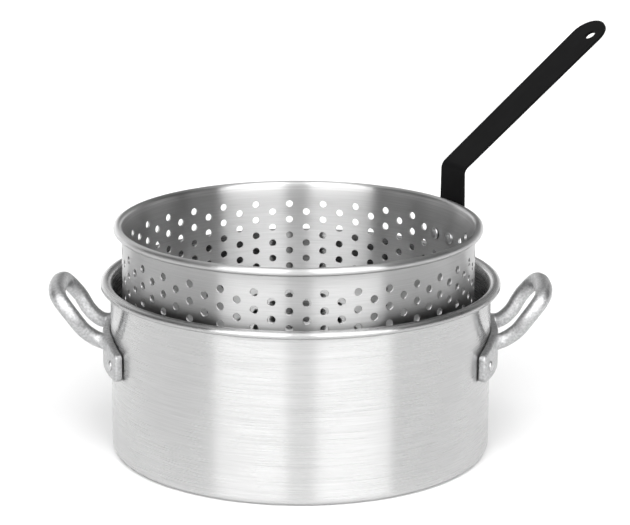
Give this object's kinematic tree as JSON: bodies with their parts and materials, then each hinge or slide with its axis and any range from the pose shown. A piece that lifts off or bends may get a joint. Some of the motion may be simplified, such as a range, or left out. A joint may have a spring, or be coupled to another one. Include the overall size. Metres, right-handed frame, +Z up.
{
  "type": "fry pot with lift-out basket",
  "caption": "Round aluminium fry pot with riveted loop handles and a perforated basket, which lifts straight out by a long flat-bar handle.",
  "frame": {"origin": "centre of the pot's flat underside", "axes": "+Z up along the pot's axis, the two loop handles lie on +X and -X, the basket handle leans towards +X and +Y"},
  "size_m": [0.456, 0.3224, 0.3209],
  "materials": {
    "pot_aluminium": "brushed round the pot",
    "basket_aluminium": "brushed round the basket",
    "cast_aluminium": "cast and tumbled, satin",
    "rivet_aluminium": "pressed, slightly shiny",
    "black_coated_steel": "black coating, satin"
  },
  "bodies": {
    "pot": {"fry_pot": "pot_aluminium", "right_loop_handle": "cast_aluminium", "left_loop_handle": "cast_aluminium", "right_handle_front_rivet": "rivet_aluminium", "right_handle_back_rivet": "rivet_aluminium", "left_handle_front_rivet": "rivet_aluminium", "left_handle_back_rivet": "rivet_aluminium"},
    "basket": {"basket": "basket_aluminium", "basket_handle": "black_coated_steel", "basket_handle_front_rivet": "rivet_aluminium", "basket_handle_back_rivet": "rivet_aluminium"}
  },
  "joints": [
    {"name": "basket_lift", "type": "slide", "parent": "pot", "child": "basket", "axis": [0, 0, 1], "range_m": [0, 0.18]}
  ]
}
